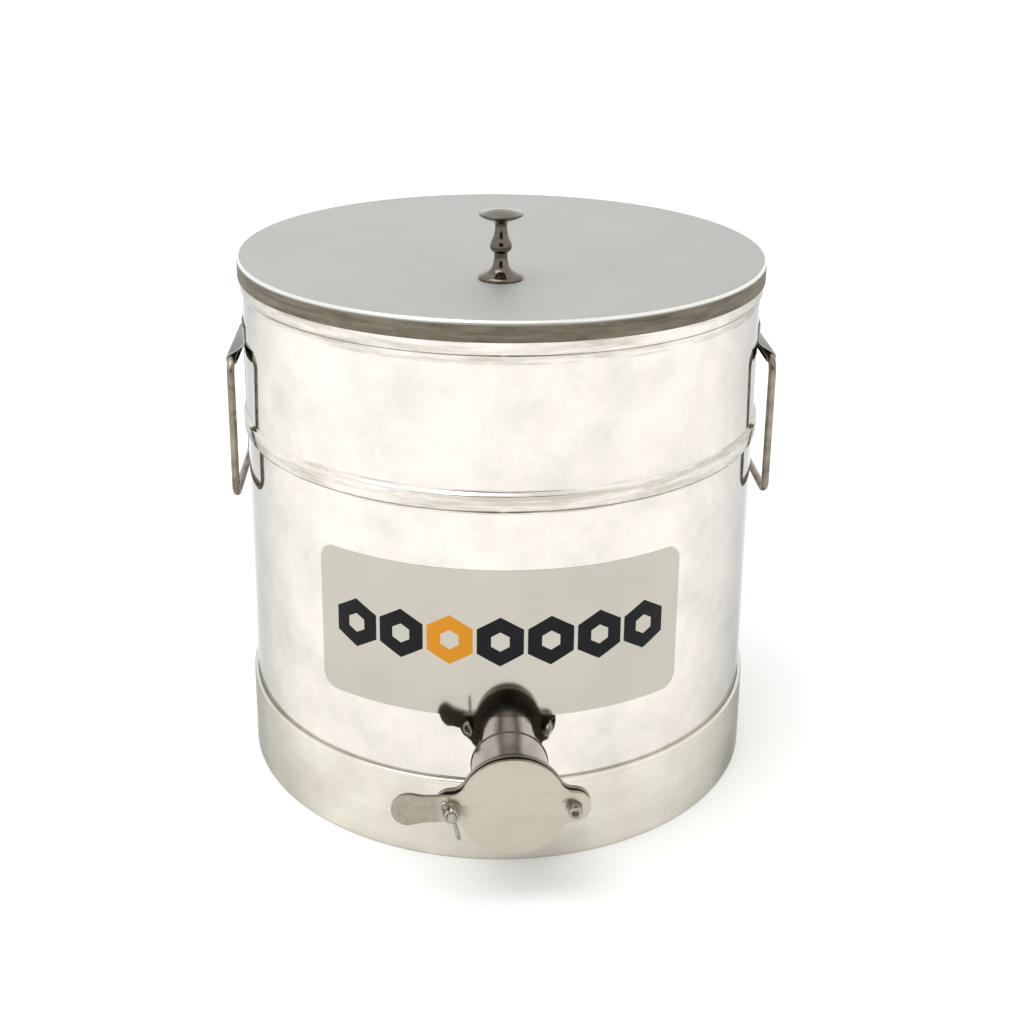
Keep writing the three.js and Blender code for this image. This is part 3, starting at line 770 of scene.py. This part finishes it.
bracket_steel = satin_steel("satin_bracket_steel", "#8f8b83", "#bdbab3", 0.2, 0.02)
for side, sign in (("left", -1), ("right", 1)):
    bracket = bracket_piece(f"{side}_bracket", f"{side}_handle_bracket", sign, bracket_steel)
    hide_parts(f"{side}_handle_bracket")
    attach(bracket, "tank")


# ---- Weld seams --------------------
# TIG welds, left as they were made: a row of overlapping ripples, straw and grey from the heat. They
# run round the gate's tube, along the top of each bracket, and down the back of the shell and skirt.
RIPPLE_PITCH = 1.1


def weld_metal():
    """Weld metal: stainless with dark straw and blue-grey heat tint, slightly rough."""
    material, tree, shader = new_material("weld_metal")
    heat = noise(tree, object_place(tree), 0.006, 4.0)
    rough = remap(tree, heat, 0.0, 1.0, 0.25, 0.45)
    dress(tree, shader, blend(tree, heat, "#3f3b35", "#7d7261"), rough)
    return material


def weld_tree():
    """Geometry nodes that lay overlapping ripples along a path."""
    tree, given, path = begin_tree("weld_ripples", Pitch="Float", Ripple_Radius="Float")
    steps = {"Curve": path, "Length": given["Pitch"]}
    even = add_node(tree, "GeometryNodeResampleCurve", steps, mode="LENGTH").outputs["Curve"]
    ball = {"Radius": given["Ripple Radius"], "Subdivisions": 2}
    ripple = add_node(tree, "GeometryNodeMeshIcoSphere", ball).outputs["Mesh"]
    laid = add_node(tree, "GeometryNodeInstanceOnPoints", {"Points": even, "Instance": ripple})
    return end_tree(tree, laid.outputs[0], given["Finish"])


def on_wall(run, z, radius=WALL):
    """A point on the tank's outside, a run in mm to the right of the gate's middle line."""
    angle = run / radius
    return AXIS + Vector((radius * math.sin(angle), -radius * math.cos(angle), z)) * MM


def back_of_skirt(z):
    """A point on the skirt's outside, behind the tank."""
    return AXIS + Vector((0, skirt_radius - 0.1, z)) * MM


tube_weld = arc(0, 0, TUBE_RADIUS, 0, 357, 119)
back_line = math.pi * WALL
welds = {
    "tube_weld": [on_wall(WALL * math.asin(x / WALL), GATE_Z + z) for x, z in tube_weld],
    "shell_seam": [on_wall(back_line, z, WALL - 0.1) for z in (skirt_high.z + 1, BEAD[0] - 1)],
    "upper_shell_seam": [on_wall(back_line, z, WALL - 0.1) for z in (BEAD[1] + 1, HOOP[0] - 1)],
    "skirt_seam": [back_of_skirt(z) for z in (5, skirt_high.z - SKIRT_EDGE - 0.5)],
}
for side, sign in (("left", -1), ("right", 1)):
    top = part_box(f"{side}_handle_bracket")[1].z / MM
    quarter = math.pi / 2 * WALL
    welds[f"{side}_bracket_weld"] = [on_wall(sign * quarter + run, top) for run in range(-38, 39, 2)]
ripples = weld_tree()
tinted = weld_metal()
for name, points in welds.items():
    size = 0.5 if name.endswith("seam") else 0.75
    sizes = {"Pitch": RIPPLE_PITCH * size * MM, "Ripple_Radius": size * MM}
    weld = grow(name, points, ripples, closed=name == "tube_weld", **sizes, Finish=tinted)
    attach(weld, "tank")


# ---- Gate tube ---------------------
# A short stainless tube, turned and polished, welded through the wall with the flange on its end.
BORE = 25.0


def turned_tube_steel():
    """Turned stainless: rings from the tool round the tube, polished over, a little dark."""
    material, tree, shader = new_material("turned_tube_steel")
    place = object_place(tree)
    lines = noise(tree, place, 1.0, 3.0, (8.0, 1600.0, 8.0))
    tone = blend(tree, noise(tree, place, 0.015, 4.0), "#98948f", "#c4c0bb")
    rough = remap(tree, lines, 0.0, 1.0, 0.1, 0.26)
    dress(tree, shader, tone, rough, bump(tree, lines, 0.15, 0.00005))
    return material


def round_piece(name, node, outline, material, body, x=0.0, sides=96):
    """A piece turned about the bore's direction; its heights are distances in front of y = 0."""
    piece = turn(name, outline, material, sides, forward(x, GATE_Z))
    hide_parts(node)
    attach(piece, body)
    return piece


tube_back = -AXIS.y / MM + WALL - SHEET
tube_face = -tube_low.y
tube_outline = [
    (BORE, tube_back),
    (TUBE_RADIUS, tube_back),
    (TUBE_RADIUS, tube_face - 0.3),
    (TUBE_RADIUS - 0.3, tube_face),
    (BORE + 0.3, tube_face),
    (BORE, tube_face - 0.3),
]
round_piece("tube", "gate_tube", tube_outline, turned_tube_steel(), "tank", sides=128)


# ---- Gate plates -------------------
# The flange and the blade are laser-cut from plate: a disc with an ear each side, joined by hollow
# corners, and on the blade a thumb tab with an open slot for the lock screw. Edges are broken.
DISC = 37.5
EAR = 11.5
FILLET = 10.0
NECK = 10.0
TAB_X = -72.0
TAB_END = 12.0
TAB_HOLLOW = 40.0
CLEAR = 3.3
SLOT = 3.4
SLOT_RUN = 14
BROKEN = 0.25
PAST = 5  # how far a cutter reaches past the plate
flange_low, flange_high = box_mm("gate_flange")
blade_low, blade_high = box_mm("gate_blade")
ear_x = flange_high.x - EAR


def plate_steel(name, dark, light, back_from, tab_to):
    """Satin plate, warm grey in front and duller on the thumb tab; its back and the rear of its edges are
    painted dark as shade.
    """
    material, tree, shader = new_material(name)
    place = object_place(tree)
    split_place = add_node(tree, "ShaderNodeSeparateXYZ", {"Vector": place}).outputs
    clouds = noise(tree, place, 0.025, 6.0, Roughness=0.6)
    blotches = noise(tree, place, 0.004, 5.0, Roughness=0.7)
    tab_tone = blend(tree, blotches, "#857e70", "#b3ad9f")
    on_tab = remap(tree, split_place["X"], (tab_to + 4) * MM, (tab_to - 4) * MM)
    faced = blend(tree, on_tab, blend(tree, clouds, dark, light), tab_tone)
    # painted shade: the back face and the rear strip of the edges are darkened
    behind = remap(tree, split_place["Y"], (back_from - 0.2) * MM, back_from * MM)
    tone = blend(tree, behind, faced, "#39352e")
    rough = remap(tree, clouds, 0.0, 1.0, 0.22, 0.4)
    dress(tree, shader, tone, rough, bump(tree, noise(tree, place, 0.0012, 3.0), 0.15, 0.00004))
    return material


def degrees(y, x):
    """The angle of a direction, in degrees."""
    return math.degrees(math.atan2(y, x))


def mirrored(points):
    """The same outline on the other side of the bore, in the same sense of travel."""
    return [(-x, y) for x, y in reversed(points)]


def flipped(points):
    """The same outline below the bore, in the same sense of travel."""
    return [(x, -y) for x, y in reversed(points)]


disc_reach = DISC + FILLET
ear_reach = EAR + FILLET
fillet_x = (disc_reach**2 - ear_reach**2 + ear_x**2) / (2 * ear_x)
fillet_y = math.sqrt(disc_reach**2 - fillet_x**2)
disc_angle = degrees(fillet_y, fillet_x)
ear_angle = degrees(fillet_y, fillet_x - ear_x)
right_ear = [
    *arc(fillet_x, fillet_y, FILLET, 180 + disc_angle, 180 + ear_angle, 10),
    *arc(ear_x, 0, EAR, ear_angle, -ear_angle, 30)[1:-1],
    *arc(fillet_x, -fillet_y, FILLET, 180 - ear_angle, 180 - disc_angle, 10),
]


def disc_arc(start, end):
    """Part of the disc's edge, without its end points."""
    return arc(0, 0, DISC, start, end, 40)[1:-1]


flange_outline = [
    *right_ear,
    *disc_arc(-disc_angle, disc_angle - 180),
    *mirrored(right_ear),
    *disc_arc(180 - disc_angle, disc_angle),
]
neck_fillet_y = NECK + FILLET
neck_fillet_x = -math.sqrt(disc_reach**2 - neck_fillet_y**2)
neck_angle = degrees(neck_fillet_y, neck_fillet_x)
hollow_y = NECK + TAB_HOLLOW
hollow_x = TAB_X + math.sqrt((TAB_HOLLOW + TAB_END) ** 2 - hollow_y**2)
tab_angle = degrees(hollow_y, hollow_x - TAB_X)
tab_top = [
    *arc(TAB_X, 0, TAB_END, 180, tab_angle, 20),
    *arc(hollow_x, hollow_y, TAB_HOLLOW, 180 + tab_angle, 270, 10)[1:],
    *arc(neck_fillet_x, neck_fillet_y, FILLET, 270, 180 + neck_angle, 10),
]
blade_outline = [
    *tab_top,
    *disc_arc(neck_angle, disc_angle),
    *right_ear,
    *disc_arc(-disc_angle, -neck_angle),
    *flipped(tab_top)[:-1],
]
slot_outline = [
    *arc(ear_x, 0, 2 * ear_x - SLOT, 180 + SLOT_RUN, 180, 10),
    *arc(-ear_x, 0, SLOT, 0, 180, 14)[1:-1],
    *arc(ear_x, 0, 2 * ear_x + SLOT, 180, 180 + SLOT_RUN, 10),
]


def plate(name, outline, near, far, material):
    """An outline in the gate's plane as a plate between two depths."""
    curve = bpy.data.curves.new(name, "CURVE")
    curve.dimensions = "2D"
    curve.fill_mode = "BOTH"
    curve.extrude = (far - near) / 2 * MM
    spline = curve.splines.new("POLY")
    spline.points.add(len(outline) - 1)
    for point, (x, y) in zip(spline.points, outline):
        point.co = (x * MM, y * MM, 0, 1)
    spline.use_cyclic_u = True
    flat = bpy.data.objects.new(name, curve)
    bpy.context.collection.objects.link(flat)
    mesh = bpy.data.meshes.new_from_object(flat.evaluated_get(bpy.context.evaluated_depsgraph_get()))
    bpy.data.objects.remove(flat)
    bm = bmesh.new()
    bm.from_mesh(mesh)
    bpy.data.meshes.remove(mesh)
    bmesh.ops.remove_doubles(bm, verts=bm.verts, dist=1e-6)
    bmesh.ops.transform(bm, matrix=forward(0, GATE_Z, (near + far) / 2), verts=bm.verts)
    return finish_mesh(bm, name, material)


def break_edges(piece, width, sharp=25):
    """Bevels a piece's sharp edges, as a file does."""
    bevel = piece.modifiers.new("broken_edges", "BEVEL")
    bevel.width = width * MM
    bevel.segments = 2
    bevel.limit_method = "ANGLE"
    bevel.angle_limit = math.radians(50)
    keep_result(piece)
    piece.data.shade_smooth()
    piece.data.set_sharp_from_angle(angle=math.radians(sharp))


def hole_cutters(near, far, *holes):
    """Round cutters through a plate, each given as where it is across the gate and its radius."""
    ends = (near - PAST, far + PAST)
    return [plain_bar(radius, *ends, 64, forward(x, GATE_Z)) for x, radius in holes]


flange_steel = plate_steel("satin_flange_steel", "#8a8579", "#b0aa9d", flange_high.y - 0.6, -200)
blade_steel = plate_steel("satin_blade_steel", "#b3ac9e", "#c5beb0", blade_high.y - 0.4, -ear_x - 7)
flange = plate("flange", flange_outline, -flange_high.y, -flange_low.y, flange_steel)
cut(flange, *hole_cutters(-flange_high.y, -flange_low.y, (0, BORE), (ear_x, CLEAR), (-ear_x, CLEAR)))
break_edges(flange, BROKEN)
blade = plate("blade", blade_outline, -blade_high.y, -blade_low.y, blade_steel)
slot_tool = plate("slot_tool", slot_outline, -blade_high.y - PAST, -blade_low.y + PAST, blade_steel)
cut(blade, slot_tool, *hole_cutters(-blade_high.y, -blade_low.y, (ear_x, CLEAR)))
break_edges(blade, BROKEN)
for piece, node, slot, body in (
    (flange, "gate_flange", "satin_steel", "tank"),
    (blade, "gate_blade", "gate_steel", "blade"),
):
    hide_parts(node)
    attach(piece, body)


# ---- Seal --------------------------
# A flat ring of black nitrile rubber between the flange and the blade, with soft edges.
def nitrile_rubber():
    """Black nitrile rubber: dull, with a faint dusty bloom."""
    material, tree, shader = new_material("nitrile_rubber")
    bloom = noise(tree, object_place(tree), 0.005, 5.0)
    rough = remap(tree, bloom, 0.0, 1.0, 0.45, 0.7)
    dress(tree, shader, blend(tree, bloom, "#0e0e0e", "#26251f"), rough, metallic=0.0)
    return material


def ring_outline(inner, outer, near, far, edge=0.15):
    """The section of a flat ring with its corners broken."""
    return [
        (inner + edge, near),
        (outer - edge, near),
        (outer, near + edge),
        (outer, far - edge),
        (outer - edge, far),
        (inner + edge, far),
        (inner, far - edge),
        (inner, near + edge),
    ]


def spans(node):
    """The nearest and farthest distance of a node in front of y = 0, and its radius, in mm."""
    low, high = box_mm(node)
    return -high.y, -low.y, (high.z - low.z) / 2


near, far, radius = spans("gate_seal")
seal_outline = ring_outline(BORE + 1, radius, near, far, 0.4)
round_piece("seal", "gate_seal", seal_outline, nitrile_rubber(), "tank")


# ---- Spacers and washers -----------
# Plain turned spacers that keep the blade off the flange, a flat washer under the wing nut, and a
# split spring washer under the pivot screw's head. Bright stainless.
def bright_fastener_steel():
    """Bright stainless fasteners: smooth, with small stains and handling marks; their dark tone is partly
    painted shade, for the dark bands the heads mirror.
    """
    material, tree, shader = new_material("bright_fastener_steel")
    stains = noise(tree, object_place(tree), 0.003, 5.0)
    # the dark end of this tone is partly painted shade, not only stains
    tone = blend(tree, stains, "#6f6b63", "#bfbbb3")
    rough = remap(tree, stains, 0.0, 1.0, 0.06, 0.24)
    dress(tree, shader, tone, rough, bump(tree, stains, 0.1, 0.0001))
    return material


SPLIT = 0.6  # width of the spring washer's slit
fastener_steel = bright_fastener_steel()
for name, node, body, x in (
    ("pivot_spacer_ring", "pivot_spacer", "tank", ear_x),
    ("lock_spacer_ring", "lock_spacer", "tank", -ear_x),
    ("lock_flat_washer", "lock_washer", "washer", -ear_x),
):
    near, far, radius = spans(node)
    outline = ring_outline(CLEAR, radius, near, far)
    round_piece(name, node, outline, fastener_steel, body, x)
near, far, radius = spans("pivot_spring_washer")
outline = ring_outline(CLEAR, radius, near, far, 0.1)
spring_washer = turn("split_spring_washer", outline, fastener_steel, 96, forward(ear_x, GATE_Z))
bpy.ops.mesh.primitive_cube_add(size=1)
split = bpy.context.object
split.data.transform(
    forward(ear_x, GATE_Z + radius, (near + far) / 2)
    @ Matrix.Rotation(math.radians(30), 4, "Y")
    @ Matrix.Diagonal((SPLIT * MM, 2 * radius * MM, 6 * MM, 1))
)
cut(spring_washer, split)
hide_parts("pivot_spring_washer")
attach(spring_washer, "tank")


# ---- Socket screws -----------------
# M6 socket-head screws: the pivot's head faces the front, the lock screw's head is behind the flange
# and its thread comes out through the slot in the blade.
HEAD = 5.0
HEAD_HIGH = 6.0
SHANK = 3.0
THREAD_PITCH = 1.0
SOCKET = 5.0 / math.sqrt(3)
SOCKET_DEEP = 3.2


def thread(start, end, way):
    """The outline of a thread's ridges between two depths."""
    count = int(abs(end - start) / (THREAD_PITCH / 2))
    return [(SHANK - 0.05 - 0.5 * (i % 2), start + way * i * THREAD_PITCH / 2) for i in range(count + 1)]


def socket_screw(name, node, x, head_end, way):
    """A screw whose head ends at one depth; way is 1 where the head faces the front."""
    near, far, _ = spans(node)
    seat = head_end - way * HEAD_HIGH
    tip = near if way == 1 else far
    outline = [
        (0, head_end),
        (HEAD - 0.5, head_end),
        (HEAD - 0.12, head_end - way * 0.25),
        (HEAD, head_end - way * 0.7),
        (HEAD, seat + way * 0.2),
        (HEAD - 0.2, seat),
        (SHANK, seat),
        *thread(seat - way, tip + way * 0.6, -way),
        (SHANK - 0.6, tip),
        (0, tip),
    ]
    screw = turn(name, outline, fastener_steel, 72, forward(x, GATE_Z), closed=False, sharp=35)
    floor = head_end - way * SOCKET_DEEP
    cut(screw, plain_bar(SOCKET, floor, head_end + way * 4, 6, forward(x, GATE_Z)), sharp=35)
    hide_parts(node)
    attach(screw, "tank")


socket_screw("pivot_socket_screw", "pivot_screw", ear_x, spans("pivot_screw")[1], 1)
socket_screw("lock_socket_screw", "lock_screw", -ear_x, spans("lock_screw")[0], -1)


# ---- Cap nut -----------------------
# A domed M6 cap nut on the back of the pivot screw: a hexagon with chamfered corners and a dome.
near, far, _ = spans("pivot_cap_nut")
HEX_HIGH = 5.5
HEX_CORNER = 10 / math.sqrt(3)
DOME = 4.7
CAP_BORE = 8.5
hex_end = far - HEX_HIGH
hexagon = [(0, hex_end), (HEX_CORNER, hex_end), (HEX_CORNER, far), (0, far)]
cap_nut = turn("domed_cap_nut", hexagon, fastener_steel, 6, forward(ear_x, GATE_Z), closed=False)
chamfer = [(0, hex_end - 0.1), (5.0, hex_end - 0.1), (6.4, hex_end + 0.8)]
chamfer += [(6.4, far - 0.8), (5.0, far + 0.1), (0, far + 0.1)]
rounding = turn("rounding_tool", chamfer, fastener_steel, 72, forward(ear_x, GATE_Z), closed=False)
dome_outline = [(0, far - 2), (DOME, far - 2), *arc(0, hex_end, DOME, 0, -90, 10)]
dome_piece = turn("dome_tool", dome_outline, fastener_steel, 72, forward(ear_x, GATE_Z), closed=False)
combine(cap_nut, "INTERSECT", rounding)
combine(cap_nut, "UNION", dome_piece)
cut(cap_nut, plain_bar(CLEAR, far - CAP_BORE, far + 2, 48, forward(ear_x, GATE_Z)), sharp=28)
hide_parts("pivot_cap_nut")
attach(cap_nut, "tank")


# ---- Wing nut ----------------------
# A cast M6 wing nut: a tapered hub with two wings in one plane, all its edges rounded.
near, far, _ = spans("lock_wing_nut")
HUB = 6.2
HUB_HIGH = 7.4
HUB_BREAK = 0.3
WING_REACH = 13.4
WING_END = 2.9
WING_THICK = 2.4
WING_ROUND = 0.7
WING_TURN = 110  # degrees from +X to the upper wing, seen from the front
wing_high = far - near
wing_tip = arc(WING_REACH, wing_high - WING_END, WING_END, -50, 130, 16)
wing_outline = [(3.0, 1.6), (6.6, 2.6), (9.5, 5.2), *wing_tip, (8.4, 10.4), (6.0, 7.2), (3.0, 6.2)]
nut_place = forward(-ear_x, GATE_Z, near)
hub = [
    (CLEAR, HUB_BREAK),
    (CLEAR + HUB_BREAK, 0),
    (HUB - HUB_BREAK, 0),
    (HUB, HUB_BREAK),
    *[(HUB - 0.6 * t, HUB_BREAK + (HUB_HIGH - 1) * t) for t in (0.5, 1)],
    (HUB - 1.1, HUB_HIGH),
    (CLEAR + HUB_BREAK, HUB_HIGH),
    (CLEAR, HUB_HIGH - HUB_BREAK),
]
wing_nut = turn("cast_wing_nut", hub, fastener_steel, 64, nut_place)


def wing(angle):
    """One wing, standing on the hub and pointing out at an angle round the screw."""
    bm = bmesh.new()
    faces = []
    for y in (-WING_THICK / 2, WING_THICK / 2):
        faces.append([bm.verts.new((x * MM, y * MM, z * MM)) for x, z in wing_outline])
    bm.faces.new(faces[0])
    bm.faces.new(reversed(faces[1]))
    skin(bm, *faces)
    turned_out = nut_place @ Matrix.Rotation(math.radians(angle), 4, "Z")
    bmesh.ops.transform(bm, matrix=turned_out, verts=bm.verts)
    piece = finish_mesh(bm, "wing_tool", fastener_steel)
    break_edges(piece, WING_ROUND, 40)
    return piece


for angle in (WING_TURN, WING_TURN - 180):
    combine(wing_nut, "UNION", wing(angle))
cut(wing_nut, plain_bar(CLEAR, -2, 30, 64, nut_place), sharp=40)
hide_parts("lock_wing_nut")
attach(wing_nut, "wing_nut")


# ---- Knob's washer and screw -------
# Under the lid: a flat washer and a round-headed M5 screw that goes up into the knob.
washer_low, washer_high = box_mm("lid_knob_washer")
washer_outline = ring_outline(LID_HOLE, (washer_high.x - washer_low.x) / 2, washer_low.z, washer_high.z)
lid_washer = turn("knob_washer", washer_outline, fastener_steel, 72, knob_place)
screw_low, screw_high = box_mm("lid_knob_screw")
seat_z = washer_low.z - 0.3
PAN_HEAD = 4.7
LID_SCREW = LID_HOLE - 0.3
screw_outline = [
    (0, screw_low.z),
    *[(PAN_HEAD * x, seat_z - 0.6 - 2.4 * z) for z, x in arc(0, 0, 1, 15, 90, 5)],
    (PAN_HEAD, seat_z),
    (LID_SCREW, seat_z),
    (LID_SCREW, screw_high.z),
    (0, screw_high.z),
]
lid_screw = turn("knob_screw", screw_outline, fastener_steel, 64, knob_place, closed=False)
for piece, node in ((lid_washer, "lid_knob_washer"), (lid_screw, "lid_knob_screw")):
    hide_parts(node)
    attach(piece, "lid")
